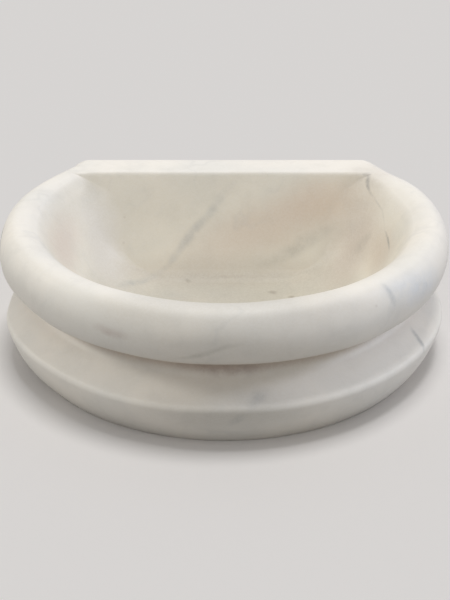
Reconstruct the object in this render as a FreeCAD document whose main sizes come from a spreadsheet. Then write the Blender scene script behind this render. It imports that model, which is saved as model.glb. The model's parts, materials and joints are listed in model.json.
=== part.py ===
import FreeCAD, Part
import math
import os
import re
import Sketcher

# Half-round wall basin carved from one block of marble, with a push-to-open waste in its floor.
# Millimetres, +Z up. The drain axis is the Z axis and the base stands on Z = 0.
# +Y points to the flat back, +X to the right of someone who faces the basin.

SIZES = {
    # Stone, outside
    "rim_radius": 250,
    "back_depth": 160,
    "height": 157,
    "roll_height": 62,
    "roll_face": 42,
    "roll_shoulder": 16,
    "neck_round": 17,
    "flare_round": 11.5,
    "flare_sweep": 60,
    "flare_run": 30,
    "arris_round": 7,
    "under_lean": 12,
    "under_round": 106,
    "sawn_ease": 2,
    # Stone, inside
    "back_wall": 43,
    "back_batter": 19.5,
    "ledge_round": 4,
    "lip_round": 31.5,
    "wall_lean": 31,
    "bowl_round": 90,
    # Stone round the waste
    "waste_stone": 12,
    "seat_depth": 3,
    "seat_gap": 1,
    "hole_gap": 1.5,
    "recess_gap": 16,
    # Waste tube
    "tail_clear": 1.5,
    "spigot_radius": 20,
    "spigot_length": 7.5,
    "thread_radius": 20.95,
    "bore_radius": 17.5,
    "flange_radius": 32,
    "flange_thick": 2.5,
    "flange_ease": 1,
    "bridge_thick": 4,
    "arm_width": 4,
    "boss_radius": 7,
    # Clamp
    "flange_seal_thick": 1.5,
    "flange_seal_inset": 1,
    "clamp_radius": 31,
    "under_seal_thick": 2.5,
    "washer_thick": 1,
    "nut_thick": 7,
    "nut_flats": 52,
    "thread_gap": 0.05,
    # Latch
    "stud_radius": 4,
    "barrel_radius": 8.5,
    "barrel_wall": 2,
    "barrel_floor": 2,
    "barrel_drop": 2.5,
    "barrel_nut_thick": 4,
    "barrel_nut_flats": 13,
    "bush_depth": 3.5,
    "bush_lip": 1,
    "plunger_radius": 5,
    "plunger_wall": 1.2,
    "slide_gap": 0.05,
    "collar_gap": 0.15,
    "rest_gap": 0.3,
    "stop_gap": 0.2,
    "travel": 8,
    "spring_wire": 0.9,
    "spring_gap": 0.3,
    "spring_turns": 6,
    # Plug
    "cap_radius": 30,
    "cap_edge": 2.5,
    "cap_crown": 3,
    "cap_ease": 1,
    "cap_stud_length": 3.5,
    "plug_seal_radius": 20.5,
    "plug_seal_width": 4.5,
    "plug_seal_height": 2.5,
    "plug_groove": 1.2,
    "seal_gap": 0.3,
}

doc = FreeCAD.newDocument("marble_basin")
sheet = doc.addObject("Spreadsheet::Sheet", "Sizes")
for row, (alias, amount) in enumerate(SIZES.items(), start=1):
    sheet.set(f"A{row}", alias)
    sheet.set(f"B{row}", str(amount))
    sheet.setAlias(f"B{row}", alias)
doc.recompute()

# Levels and sizes that follow from the sheet, each as an expression.
# The floor of the bowl is as high as the waste below it needs.
NUT_LEVEL = "(tail_clear + spigot_length)"
WASHER_LEVEL = f"({NUT_LEVEL} + nut_thick)"
UNDER_SEAL_LEVEL = f"({WASHER_LEVEL} + washer_thick)"
RECESS_TOP = f"({UNDER_SEAL_LEVEL} + under_seal_thick)"
SEAT_LEVEL = f"({RECESS_TOP} + waste_stone)"
FLOOR_LEVEL = f"({SEAT_LEVEL} + seat_depth)"
FLANGE_LEVEL = f"({SEAT_LEVEL} + flange_seal_thick)"
FLANGE_TOP = f"({FLANGE_LEVEL} + flange_thick)"
CAP_LEVEL = f"({FLANGE_TOP} + seal_gap + plug_seal_height - plug_groove)"
BARREL_LEVEL = f"({NUT_LEVEL} + bridge_thick)"
BARREL_LENGTH = f"({FLANGE_TOP} - barrel_drop - {BARREL_LEVEL})"
PLUNGER_LEVEL = f"({BARREL_LEVEL} + barrel_floor + rest_gap)"
PLUNGER_LENGTH = f"({CAP_LEVEL} - {PLUNGER_LEVEL})"
COLLAR_HEIGHT = f"({BARREL_LENGTH} - bush_depth - barrel_floor - rest_gap - travel - stop_gap)"
CAVITY_RADIUS = "(barrel_radius - barrel_wall)"
PLUNGER_BORE = "(plunger_radius - plunger_wall)"
PLUNGER_BORE_DEPTH = f"({PLUNGER_LENGTH} - 2 * plunger_radius)"
HOLE_RADIUS = "(thread_radius + hole_gap)"
NUT_CORNER = "(nut_flats / sqrt(3))"
RECESS_RADIUS = f"({NUT_CORNER} + recess_gap)"
# The flat back and the front of the rim lie as far from the drain axis as each other.
PLAN_CENTRE = "((rim_radius - back_depth) / 2)"

# Two places nearer than this count as one
SNUG = 1e-4

ALIAS = re.compile(r"\b(" + "|".join(SIZES) + r")\b")


def bound(text):
    """The expression with each size read from the sheet."""
    return ALIAS.sub(r"Sizes.\1", text)


def number(text):
    """The expression's present value."""
    return float(sheet.evalExpression(bound(text)))


def new_body(label):
    body = doc.addObject("PartDesign::Body", label)
    body.Label = label
    return body


def new_sketch(body, name, plane, lift=None):
    """A sketch on one of the body's own planes, raised along the plane's normal if asked."""
    sketch = body.newObject("Sketcher::SketchObject", name)
    planes = {feature.Role: feature for feature in body.Origin.OriginFeatures}
    sketch.AttachmentSupport = [(planes[plane], "")]
    sketch.MapMode = "FlatFace"
    if lift:
        sketch.setExpression("AttachmentOffset.Base.z", bound(lift))
    return sketch


def fix(sketch, kind, *target, to):
    """Adds a dimension and binds it to an expression."""
    index = sketch.addConstraint(Sketcher.Constraint(kind, *target, number(to)))
    sketch.setExpression(f"Constraints[{index}]", bound(to))


def fix_point(sketch, line, end, across, up):
    """Holds one end of a line or arc at a place given by two expressions."""
    for kind, place, axis in (("DistanceX", across, -2), ("DistanceY", up, -1)):
        if place == "0":
            sketch.addConstraint(Sketcher.Constraint("PointOnObject", line, end, axis))
        else:
            fix(sketch, kind, -1, 1, line, end, to=place)


def arc_through(start, end, radius, turn):
    """The arc of under a half circle from start to end, left-handed if turn is 1, right-handed if -1."""
    chord = end - start
    reach = math.sqrt(max(radius ** 2 - (chord.Length / 2) ** 2, 0))
    aside = FreeCAD.Vector(-chord.y, chord.x, 0).normalize() * turn
    middle = (start + end) / 2 + aside * (reach - radius)
    return Part.Arc(start, middle, end)


def draw_outline(sketch, outline):
    """Draws a closed outline. Each entry is a point and how the outline gets there: straight or by an arc."""
    points = [FreeCAD.Vector(number(step[0]), number(step[1]), 0) for step in outline]
    ends = []
    for index, step in enumerate(outline):
        start = points[index - 1]
        if len(step) == 2:
            line = sketch.addGeometry(Part.LineSegment(start, points[index]))
            ends.append((line, 1, 2))
            continue
        radius, turn = step[2:]
        line = sketch.addGeometry(arc_through(start, points[index], number(radius), turn))
        # A sketch stores an arc anticlockwise, so one that turns right is stored end first.
        ends.append((line, 1, 2) if turn > 0 else (line, 2, 1))
        fix(sketch, "Radius", line, to=radius)
    for index, step in enumerate(outline):
        line, start, end = ends[index]
        before, ignored, before_end = ends[index - 1]
        sketch.addConstraint(Sketcher.Constraint("Coincident", before, before_end, line, start))
        fix_point(sketch, line, end, step[0], step[1])


def draw_circle(sketch, radius, across="0", up="0"):
    centre = FreeCAD.Vector(number(across), number(up), 0)
    line = sketch.addGeometry(Part.Circle(centre, FreeCAD.Vector(0, 0, 1), number(radius)))
    fix(sketch, "Radius", line, to=radius)
    fix_point(sketch, line, 3, across, up)


def draw_bar(sketch, near, far, width):
    """A rectangle along the sketch's X axis, as far above the axis as below it."""
    half = number(width) / 2
    corners = [(near, -half), (far, -half), (far, half), (near, half)]
    points = [FreeCAD.Vector(number(across), up, 0) for across, up in corners]
    lines = [sketch.addGeometry(Part.LineSegment(points[i], points[(i + 1) % 4])) for i in range(4)]
    for index, line in enumerate(lines):
        after = lines[(index + 1) % 4]
        sketch.addConstraint(Sketcher.Constraint("Coincident", line, 2, after, 1))
    for line, run in ((lines[0], "Horizontal"), (lines[1], "Vertical"), (lines[2], "Horizontal")):
        sketch.addConstraint(Sketcher.Constraint(run, line))
    sketch.addConstraint(Sketcher.Constraint("Symmetric", lines[0], 1, lines[2], 2, -1))
    fix(sketch, "DistanceY", lines[1], 1, lines[1], 2, to=width)
    fix(sketch, "DistanceX", -1, 1, lines[0], 1, to=near)
    fix(sketch, "DistanceX", -1, 1, lines[0], 2, to=far)


def draw_hexagon(sketch, flats):
    """A hexagon on a construction circle through its corners, with two corners on the X axis."""
    corner = f"({flats} / sqrt(3))"
    points = [FreeCAD.Vector(number(corner), 0, 0)]
    turn = FreeCAD.Rotation(FreeCAD.Vector(0, 0, 1), 60)
    for side in range(5):
        points.append(turn.multVec(points[-1]))
    lines = [sketch.addGeometry(Part.LineSegment(points[i - 1], points[i])) for i in range(6)]
    circle = Part.Circle(FreeCAD.Vector(), FreeCAD.Vector(0, 0, 1), number(corner))
    ring = sketch.addGeometry(circle, True)
    sketch.addConstraint(Sketcher.Constraint("Coincident", ring, 3, -1, 1))
    fix(sketch, "Radius", ring, to=corner)
    for index, line in enumerate(lines):
        sketch.addConstraint(Sketcher.Constraint("Coincident", lines[index - 1], 2, line, 1))
        sketch.addConstraint(Sketcher.Constraint("PointOnObject", line, 2, ring))
        if index:
            sketch.addConstraint(Sketcher.Constraint("Equal", lines[0], line))
    sketch.addConstraint(Sketcher.Constraint("PointOnObject", lines[0], 2, -1))


def revolve(body, name, outline, kind="PartDesign::Revolution"):
    """Turns an outline in the XZ plane about the body's Z axis, adding to the body or cutting it."""
    sketch = new_sketch(body, f"{body.Name}_{name}_outline", "XZ_Plane")
    draw_outline(sketch, outline)
    turned = body.newObject(kind, f"{body.Name}_{name}")
    turned.Profile = sketch
    turned.ReferenceAxis = (sketch, ["V_Axis"])
    turned.Angle = 360
    sketch.Visibility = False
    return turned


def pad(body, name, sketch, length):
    raised = body.newObject("PartDesign::Pad", f"{body.Name}_{name}")
    raised.Profile = sketch
    raised.setExpression("Length", bound(length))
    return raised


def cut(body, name, sketch, **settings):
    """A pocket, which has to take something away from the body."""
    doc.recompute()
    before = body.Shape.Volume
    pocket = body.newObject("PartDesign::Pocket", f"{body.Name}_{name}")
    pocket.Profile = sketch
    for key, setting in settings.items():
        setattr(pocket, key, setting)
    doc.recompute()
    if not body.Shape.Volume < before:
        raise RuntimeError(f"{pocket.Name} cuts nothing")
    return pocket


def stand(body, level):
    """Sets a piece on the drain axis at a level."""
    body.setExpression("Placement.Base.z", bound(level))
    return body


def crest_radius():
    """Plan radius of the rim's highest line, where the face and shoulder of the roll are tangent arcs."""
    return ("(rim_radius - roll_face"
            " + sqrt((roll_face - roll_shoulder)^2 - (roll_height / 2 - roll_shoulder)^2))")


def basin_blank():
    """The outside of the block as it is turned: foot, rounded underside, arris, flare, cove and roll rim."""
    crest = crest_radius()
    reach = "(roll_face / (roll_face - roll_shoulder))"
    face = f"(rim_radius - roll_face + ({crest} - rim_radius + roll_face) * {reach})"
    face_rise = f"((roll_height / 2 - roll_shoulder) * {reach})"
    roll_middle = "(height - roll_height / 2)"
    neck = f"({crest} - neck_round)"
    neck_level = "(height - roll_height - neck_round)"
    flare = f"({neck} + flare_round * (1 - cos(flare_sweep)))"
    flare_level = f"({neck_level} - flare_round * sin(flare_sweep))"
    edge = f"({flare} + flare_run * sin(flare_sweep))"
    edge_level = f"({flare_level} - flare_run * cos(flare_sweep))"
    arris_centre = f"({edge} - arris_round * cos(flare_sweep))"
    arris_middle = f"({edge_level} - arris_round * sin(flare_sweep))"
    arris = f"({arris_centre} + arris_round * cos(under_lean))"
    arris_level = f"({arris_middle} - arris_round * sin(under_lean))"
    under_centre = f"({arris} - under_round * cos(under_lean))"
    under_middle = f"({arris_level} + under_round * sin(under_lean))"
    ease_reach = "(under_round - sawn_ease)"
    ease_drop = f"({under_middle} - sawn_ease)"
    foot = f"({under_centre} + sqrt({ease_reach}^2 - {ease_drop}^2))"
    ease = f"({under_centre} + ({foot} - {under_centre}) * under_round / {ease_reach})"
    ease_level = f"({under_middle} - {ease_drop} * under_round / {ease_reach})"
    return [
        ("0", "0"),
        (foot, "0"),
        (ease, ease_level, "sawn_ease", 1),
        (arris, arris_level, "under_round", 1),
        (edge, edge_level, "arris_round", 1),
        (flare, flare_level),
        (neck, neck_level, "flare_round", -1),
        (crest, "height - roll_height", "neck_round", -1),
        (face, f"{roll_middle} - {face_rise}", "roll_shoulder", 1),
        (face, f"{roll_middle} + {face_rise}", "roll_face", 1),
        (crest, "height", "roll_shoulder", 1),
        ("0", "height"),
    ]


def bowl_outline():
    """The hollow as it is turned: flat floor, round into the leaning wall, and the lip of the rim."""
    crest = crest_radius()
    lip = f"({crest} - lip_round * cos(wall_lean))"
    lip_level = "(height - lip_round * (1 - sin(wall_lean)))"
    wall_level = f"({FLOOR_LEVEL} + bowl_round * (1 - sin(wall_lean)))"
    floor = f"({lip} - bowl_round * cos(wall_lean) - tan(wall_lean) * ({lip_level} - {wall_level}))"
    above = "(height + roll_height)"
    return [
        ("0", FLOOR_LEVEL),
        (floor, FLOOR_LEVEL),
        (f"{floor} + bowl_round * cos(wall_lean)", wall_level, "bowl_round", 1),
        (lip, lip_level),
        (crest, "height", "lip_round", -1),
        (crest, above),
        ("0", above),
    ]


def back_wall_outline():
    """What stays behind the bowl, in side view: a leaning wall with a round edge to the flat ledge."""
    corner = "(back_depth - back_wall)"
    run = "(ledge_round * tan((90 - back_batter) / 2))"
    behind = "(rim_radius + back_wall)"
    above = "(height + 2 * roll_height)"
    return [
        (f"{corner} - height * tan(back_batter)", "0"),
        (behind, "0"),
        (behind, above),
        (f"{corner} + {run}", above),
        (f"{corner} + {run}", "height"),
        (f"{corner} - {run} * sin(back_batter)", f"height - {run} * cos(back_batter)", "ledge_round", 1),
    ]


def make_bowl_void():
    """The hollow of the bowl as a tool that is taken out of the block."""
    void = new_body("bowl_void")
    revolve(void, "turned", bowl_outline())
    sketch = new_sketch(void, "bowl_void_back", "YZ_Plane")
    draw_outline(sketch, back_wall_outline())
    cut(void, "behind", sketch, Type="ThroughAll", SideType="Symmetric")
    return void


def ease_sawn_edges(stone):
    """Rounds every edge of the flat back, where the block is sawn."""
    doc.recompute()
    carved = stone.Tip
    back = number("back_depth")
    names = []
    for index, edge in enumerate(carved.Shape.Edges, start=1):
        if all(abs(place.y - back) < SNUG for place in edge.discretize(5)):
            names.append(f"Edge{index}")
    ease = stone.newObject("PartDesign::Fillet", "basin_body_sawn_ease")
    ease.Base = (carved, names)
    ease.setExpression("Radius", bound("sawn_ease"))


def make_basin_body():
    """The block of marble: turned outside, flat back, hollow bowl, and the seat and recess of the waste."""
    stone = new_body("basin_body")
    revolve(stone, "turned", basin_blank())
    back = new_sketch(stone, "basin_body_back", "YZ_Plane")
    draw_outline(back, [("back_depth", "0"), ("2 * rim_radius", "0"),
                        ("2 * rim_radius", "2 * height"), ("back_depth", "2 * height")])
    cut(stone, "sawn_back", back, Type="ThroughAll", SideType="Symmetric")
    hollow = stone.newObject("PartDesign::Boolean", "basin_body_hollow")
    hollow.Type = "Cut"
    hollow.setObjects([make_bowl_void()])
    doc.recompute()
    for name, radius, low, high in (
        ("recess", RECESS_RADIUS, None, RECESS_TOP),
        ("drain_hole", HOLE_RADIUS, None, FLOOR_LEVEL),
        ("seat", "flange_radius + seat_gap", SEAT_LEVEL, FLOOR_LEVEL),
    ):
        sketch = new_sketch(stone, f"basin_body_{name}_circle", "XY_Plane", lift=low)
        draw_circle(sketch, radius, up=f"-{PLAN_CENTRE}")
        pocket = cut(stone, name, sketch, Type="Length", Reversed=True,
                     Length=number(high) - (number(low) if low else 0))
        pocket.setExpression("Length", bound(f"{high} - {low}" if low else high))
    ease_sawn_edges(stone)
    stone.setExpression("Placement.Base.y", bound(PLAN_CENTRE))
    return stone


def make_ring(label, inner, outer, thick, level):
    """A flat ring: a seal or a washer."""
    ring = new_body(label)
    revolve(ring, "ring", [(inner, "0"), (outer, "0"), (outer, thick), (inner, thick)])
    return stand(ring, level)


def make_nut(label, flats, thick, bore, level):
    """A hexagon nut whose corners are turned off at both ends."""
    nut = new_body(label)
    sketch = new_sketch(nut, f"{label}_hexagon", "XY_Plane")
    draw_hexagon(sketch, flats)
    pad(nut, "blank", sketch, thick)
    hole = new_sketch(nut, f"{label}_hole", "XY_Plane")
    draw_circle(hole, bore)
    cut(nut, "bore", hole, Type="ThroughAll", Reversed=True)
    flat = f"({flats} / 2)"
    corner = f"({flats} / sqrt(3))"
    slope = f"(({corner} - {flat}) * tan(30))"
    for name, face, inner in (("lower", "0", slope), ("upper", thick, f"{thick} - {slope}")):
        beyond = f"(2 * {corner} - {flat})"
        corner_cut = [(flat, face), (beyond, face), (beyond, f"2 * ({inner}) - ({face})")]
        if name == "upper":
            corner_cut.reverse()
        revolve(nut, f"{name}_corners", corner_cut, kind="PartDesign::Groove")
    return stand(nut, level)


def make_waste_body():
    """Flanged tube: spigot for the drain pipe, threaded length, flange, and a bridge that holds the latch."""
    waste = new_body("waste_body")
    top = f"({FLANGE_TOP} - tail_clear)"
    under = f"({FLANGE_LEVEL} - tail_clear)"
    revolve(waste, "tube", [
        ("bore_radius", "0"),
        ("spigot_radius", "0"),
        ("spigot_radius", "spigot_length"),
        ("thread_radius", "spigot_length"),
        ("thread_radius", under),
        ("flange_radius", under),
        ("flange_radius", f"{top} - flange_ease"),
        ("flange_radius - flange_ease", top, "flange_ease", 1),
        ("bore_radius", top),
    ])
    sketch = new_sketch(waste, "waste_body_arm_bar", "XY_Plane", lift="spigot_length")
    draw_bar(sketch, "stud_radius", "(bore_radius + spigot_radius) / 2", "arm_width")
    arm = pad(waste, "arm", sketch, "bridge_thick")
    arms = waste.newObject("PartDesign::PolarPattern", "waste_body_arms")
    arms.Originals = [arm]
    arms.Axis = (sketch, ["N_Axis"])
    arms.Angle = 360
    arms.Occurrences = 3
    waste.Tip = arms
    sketch = new_sketch(waste, "waste_body_boss_circle", "XY_Plane", lift="spigot_length")
    draw_circle(sketch, "boss_radius")
    pad(waste, "boss", sketch, "bridge_thick")
    sketch = new_sketch(waste, "waste_body_stud_circle", "XY_Plane")
    draw_circle(sketch, "stud_radius + thread_gap")
    cut(waste, "stud_hole", sketch, Type="ThroughAll", Reversed=True)
    return stand(waste, "tail_clear")


def make_latch_barrel():
    """Cup that holds the plunger and spring, with the threaded stud that goes through the bridge."""
    barrel = new_body("latch_barrel")
    stud = "(bridge_thick + barrel_nut_thick)"
    revolve(barrel, "cup", [
        ("0", "0"),
        ("stud_radius", "0"),
        ("stud_radius", stud),
        ("barrel_radius", stud),
        ("barrel_radius", f"{stud} + {BARREL_LENGTH}"),
        (CAVITY_RADIUS, f"{stud} + {BARREL_LENGTH}"),
        (CAVITY_RADIUS, f"{stud} + barrel_floor"),
        ("0", f"{stud} + barrel_floor"),
    ])
    return stand(barrel, f"{BARREL_LEVEL} - {stud}")


def make_guide_bush():
    """Bush in the mouth of the barrel, with a lip on the barrel's edge. The plunger slides in it."""
    bush = new_body("guide_bush")
    inner = "(plunger_radius + slide_gap)"
    outer = f"({CAVITY_RADIUS} - thread_gap)"
    revolve(bush, "bush", [
        (inner, "0"),
        (outer, "0"),
        (outer, "bush_depth"),
        ("barrel_radius", "bush_depth"),
        ("barrel_radius", "bush_depth + bush_lip"),
        (inner, "bush_depth + bush_lip"),
    ])
    return stand(bush, f"{BARREL_LEVEL} + {BARREL_LENGTH} - bush_depth")


def make_plunger():
    """Hollow stem: a collar that stops it under the bush, and a stud on top for the plug."""
    plunger = new_body("plunger")
    collar = f"({CAVITY_RADIUS} - collar_gap)"
    revolve(plunger, "stem", [
        (PLUNGER_BORE, "0"),
        (collar, "0"),
        (collar, COLLAR_HEIGHT),
        ("plunger_radius", COLLAR_HEIGHT),
        ("plunger_radius", PLUNGER_LENGTH),
        ("stud_radius", PLUNGER_LENGTH),
        ("stud_radius", f"{PLUNGER_LENGTH} + cap_stud_length"),
        ("0", f"{PLUNGER_LENGTH} + cap_stud_length"),
        ("0", PLUNGER_BORE_DEPTH),
        (PLUNGER_BORE, PLUNGER_BORE_DEPTH),
    ])
    return stand(plunger, PLUNGER_LEVEL)


def make_latch_spring():
    """Coil spring from the floor of the barrel to the end of the plunger's bore."""
    spring = new_body("latch_spring")
    wire = "(spring_wire / 2)"
    coil = f"({PLUNGER_BORE} - spring_gap - {wire})"
    rise = f"({PLUNGER_BORE_DEPTH} + rest_gap - spring_wire)"
    sketch = new_sketch(spring, "latch_spring_wire", "XZ_Plane")
    draw_circle(sketch, wire, across=coil, up=wire)
    helix = spring.newObject("PartDesign::AdditiveHelix", "latch_spring_coil")
    helix.Profile = sketch
    helix.ReferenceAxis = (sketch, ["V_Axis"])
    helix.Mode = "height-turns-angle"
    helix.setExpression("Height", bound(rise))
    helix.setExpression("Turns", bound("spring_turns"))
    return stand(spring, f"{BARREL_LEVEL} + barrel_floor")


def make_plug_cap():
    """Domed plug, hollow for the plunger's stud and grooved underneath for its seal."""
    cap = new_body("plug_cap")
    stud = "(stud_radius + thread_gap)"
    seal_outer = "(plug_seal_radius + plug_seal_width)"
    dome = "((cap_radius^2 + cap_crown^2) / (2 * cap_crown))"
    revolve(cap, "dome", [
        (stud, "0"),
        ("plug_seal_radius", "0"),
        ("plug_seal_radius", "plug_groove"),
        (seal_outer, "plug_groove"),
        (seal_outer, "0"),
        ("cap_radius - cap_ease", "0"),
        ("cap_radius", "cap_ease", "cap_ease", 1),
        ("cap_radius", "cap_edge"),
        ("0", "cap_edge + cap_crown", dome, 1),
        ("0", "cap_stud_length"),
        (stud, "cap_stud_length"),
    ])
    return stand(cap, CAP_LEVEL)


def make_parts():
    thread = "(thread_radius + thread_gap)"
    return [
        make_basin_body(),
        make_waste_body(),
        make_ring("flange_seal", thread, "flange_radius - flange_seal_inset", "flange_seal_thick",
                  SEAT_LEVEL),
        make_ring("under_seal", thread, "clamp_radius", "under_seal_thick", UNDER_SEAL_LEVEL),
        make_ring("slip_washer", thread, "clamp_radius", "washer_thick", WASHER_LEVEL),
        make_nut("back_nut", "nut_flats", "nut_thick", thread, NUT_LEVEL),
        make_latch_barrel(),
        make_nut("barrel_nut", "barrel_nut_flats", "barrel_nut_thick", "stud_radius + thread_gap",
                 f"{NUT_LEVEL} - barrel_nut_thick"),
        make_guide_bush(),
        make_plunger(),
        make_latch_spring(),
        make_plug_cap(),
        make_ring("plug_seal", "plug_seal_radius", "plug_seal_radius + plug_seal_width", "plug_seal_height",
                  f"{CAP_LEVEL} + plug_groove - plug_seal_height"),
    ]


parts = make_parts()
doc.recompute()
for thing in doc.Objects:
    if {"Invalid", "Error"} & set(thing.State):
        raise RuntimeError(f"{thing.Label} failed: {thing.State}")
for piece in parts:
    if piece.Shape.isNull() or not piece.Shape.isValid() or len(piece.Shape.Solids) != 1:
        raise RuntimeError(f"{piece.Label} is not one sound solid")

os.makedirs("parts", exist_ok=True)
for piece in parts:
    piece.Shape.exportStep(os.path.join("parts", f"{piece.Label}.step"))
    print(f"{piece.Label}: {piece.Shape.Volume / 1000:.2f} cm3, {piece.Shape.BoundBox}")
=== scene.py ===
import json
import math
from collections import namedtuple

import bmesh
import bpy
from mathutils import Matrix, Vector, noise


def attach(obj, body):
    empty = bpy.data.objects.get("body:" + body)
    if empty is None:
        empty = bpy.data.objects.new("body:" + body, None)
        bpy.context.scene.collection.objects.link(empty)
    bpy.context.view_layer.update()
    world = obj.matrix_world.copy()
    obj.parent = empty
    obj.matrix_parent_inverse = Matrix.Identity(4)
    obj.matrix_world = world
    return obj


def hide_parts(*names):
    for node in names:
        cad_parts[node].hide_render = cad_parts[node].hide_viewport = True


# Half-round marble basin with a push-to-open waste, on a pale studio floor.
# Metres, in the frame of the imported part: +X right, +Y to the flat back, +Z up from the foot.

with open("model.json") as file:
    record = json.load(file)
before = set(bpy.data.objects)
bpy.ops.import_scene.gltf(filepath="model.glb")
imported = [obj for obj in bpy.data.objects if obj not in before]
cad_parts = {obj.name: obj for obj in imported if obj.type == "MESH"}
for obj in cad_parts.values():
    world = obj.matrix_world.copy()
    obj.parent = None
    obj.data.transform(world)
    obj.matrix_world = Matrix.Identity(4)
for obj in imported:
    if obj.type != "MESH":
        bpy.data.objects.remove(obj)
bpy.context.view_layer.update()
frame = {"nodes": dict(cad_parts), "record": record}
MM = 0.001

# Sizes of the stone, the same as in the part's source
RIM_RADIUS = 250 * MM
BACK_DEPTH = 160 * MM
HEIGHT = 157 * MM
ROLL_HEIGHT = 62 * MM
ROLL_FACE = 42 * MM
ROLL_SHOULDER = 16 * MM
NECK_ROUND = 17 * MM
FLARE_ROUND = 11.5 * MM
FLARE_SWEEP = math.radians(60)
FLARE_RUN = 30 * MM
ARRIS_ROUND = 7 * MM
UNDER_LEAN = math.radians(12)
UNDER_ROUND = 106 * MM
SAWN_EASE = 2 * MM
BACK_WALL = 43 * MM
BACK_BATTER = math.radians(19.5)
LEDGE_ROUND = 4 * MM
LIP_ROUND = 31.5 * MM
WALL_LEAN = math.radians(31)
BOWL_ROUND = 90 * MM
FLOOR_LEVEL = 34.5 * MM
SEAT_LEVEL = 31.5 * MM
SEAT_RADIUS = 33 * MM
HOLE_RADIUS = 22.45 * MM
RECESS_RADIUS = 46.02 * MM
RECESS_TOP = 19.5 * MM

# What the carver's hand adds to those sizes
CREASE_ROUND = 45 * MM
CREASE_TIGHT = 14 * MM
CREASE_FADE = 28 * MM
CREASE_WIDENS = (55 * MM, 110 * MM)
FLOOR_CREASE_ROUND = 18 * MM
ARRIS_EASE = 0.8 * MM
WAVE_DEPTH = 0.9 * MM
WAVE_LENGTH = 75 * MM
WAVE_SEED = 4
# Where that waviness sets in: up from the foot, in from the back, and out from the drain
FOOT_FADE = (1 * MM, 14 * MM)
BACK_FADE = (1 * MM, 12 * MM)
DRAIN_FADE = (48 * MM, 70 * MM)
# Uneven places: where, how far they reach and how they push the surface, in millimetres
Uneven = namedtuple("Uneven", "place reach push")
UNEVEN_PLACES = [
    # Flatter at the left of the back
    Uneven((-208, 175, 140), 66, (6, 0, 0)),
    # Fuller at the left of the rim, and low down at the left and at the right
    Uneven((-250, 20, 130), 80, (-2, 0, 0)),
    Uneven((-220, -50, 26), 55, (-3, -1, 0)),
    Uneven((242, 10, 38), 75, (3, 0, 0)),
    # Fuller at the back right corner of the bowl
    Uneven((182, 158, 150), 30, (-10, -2, 0)),
    # Shallower cove at the left
    Uneven((-212, -10, 84), 42, (-7, -1, 0)),
]

# Fineness of the mesh
STEP = 3 * MM
FRONT_STEPS = 240
SIDE_STEPS = 8
CORNER_STEPS = 8
FEWEST_ARC_STEPS = 5
BACK_COLUMNS = 64
WASTE_STEPS = 96
SHARP_ANGLE = math.radians(50)
TINY = 1e-6
MERGE_GAP = 20 * TINY
LEVEL_GAP = STEP / 10

# Places that follow from the sizes
CREST_RADIUS = RIM_RADIUS - ROLL_FACE + math.sqrt(
    (ROLL_FACE - ROLL_SHOULDER) ** 2 - (ROLL_HEIGHT / 2 - ROLL_SHOULDER) ** 2)
PLAN_CENTRE = (RIM_RADIUS - BACK_DEPTH) / 2
PLAN_AXIS = Vector((0, PLAN_CENTRE, 0))
LEDGE_CORNER = BACK_DEPTH - BACK_WALL
LEDGE_RUN = LEDGE_ROUND * math.tan((math.pi / 2 - BACK_BATTER) / 2)
LEDGE_FRONT = LEDGE_CORNER + LEDGE_RUN
SPLIT_TURN = math.pi / 2 + math.asin(LEDGE_FRONT / CREST_RADIUS)
COVE_LEVEL = HEIGHT - ROLL_HEIGHT - NECK_ROUND / 2
TURN_STEP = 2 * SPLIT_TURN / FRONT_STEPS

# Length in which a wave pattern at a scale of 1 repeats
WAVE_REPEAT = math.pi / 10
# Inputs of a mix node: how much of the upper one shows, the two colours, and the two plain numbers
SHARE, UNDER, OVER = 0, 6, 7
UNDER_VALUE, OVER_VALUE = 2, 3

# Where the look of the stone changes: the edge of the bowl, out from the plan centre and before the ledge,
# the painted shade of the cove, up and down from its middle, and the skin of the sawn faces
BOWL_EDGE = (196 * MM, 211 * MM)
LEDGE_EDGE = 6 * MM
COVE_SHADE_BAND = (4 * MM, 17 * MM)
SAWN_SKIN = (0.2 * MM, 1 * MM)

# Tints, painted shade, veins and stains of the stone: places on its surface and half sizes, in millimetres.
# Facing is the way the surface looks there, and OUTWARD stands for level and away from the plan centre.
Streak = namedtuple("Streak", "colour strength start end width depth facing")
BACK_WALL_FACING = (0, -0.94, 0.33)
UP = (0, 0, 1)
OUTWARD = None
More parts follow.
